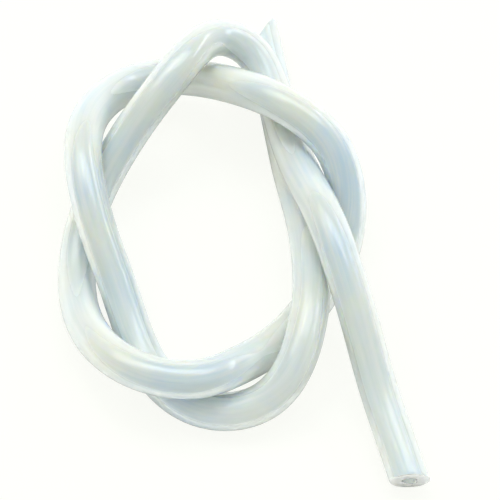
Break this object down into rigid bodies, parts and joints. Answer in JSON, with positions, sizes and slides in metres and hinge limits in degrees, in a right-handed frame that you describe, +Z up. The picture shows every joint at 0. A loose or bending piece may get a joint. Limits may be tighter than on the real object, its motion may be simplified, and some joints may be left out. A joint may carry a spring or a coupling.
{
  "type": "silicone tubing coil",
  "caption": "Length of thick-walled translucent silicone tubing, cut at both ends and wound into a loose oval coil that lies flat.",
  "frame": {"origin": "on the table under the middle of the coil's bounding box", "axes": "+Z up; +Y along the coil's length, towards its tight bend and the tucked end; +X across its width, towards the side where the long free end leaves"},
  "size_m": [0.0968, 0.1414, 0.033],
  "materials": {
    "silicone": "extruded translucent silicone, smooth and slightly bluish grey"
  },
  "bodies": {
    "root": {"tube": "silicone"}
  },
  "joints": []
}
